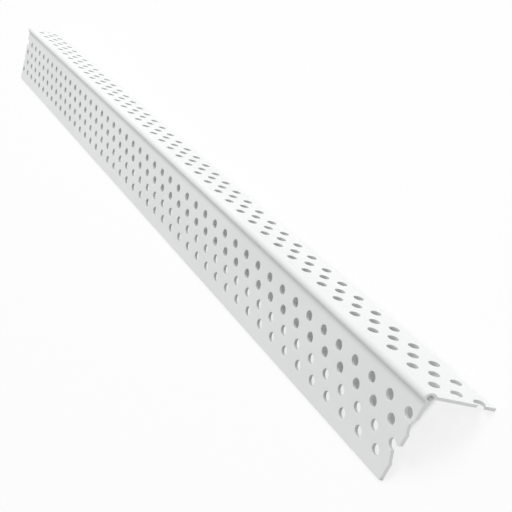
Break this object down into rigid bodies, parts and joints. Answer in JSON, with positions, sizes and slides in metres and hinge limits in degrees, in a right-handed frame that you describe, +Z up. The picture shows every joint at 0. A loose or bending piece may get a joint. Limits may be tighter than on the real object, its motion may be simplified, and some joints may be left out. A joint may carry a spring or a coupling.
{
  "type": "drywall corner bead",
  "caption": "Perforated white vinyl corner bead: wide and narrow legs at a right angle, a hollow rounded nose, fixed over an outside plasterboard corner.",
  "frame": {"origin": "middle of the piece's length, on the floor midway between the two leg edges", "axes": "+X along the length towards the slanting end nearest the viewer, +Z up from the floor to the nose, +Y towards the narrow leg with three rows of holes"},
  "size_m": [0.5416, 0.044, 0.0206],
  "materials": {
    "vinyl": "smooth satin white extruded vinyl"
  },
  "bodies": {
    "root": {"corner_bead": "vinyl"}
  },
  "joints": []
}
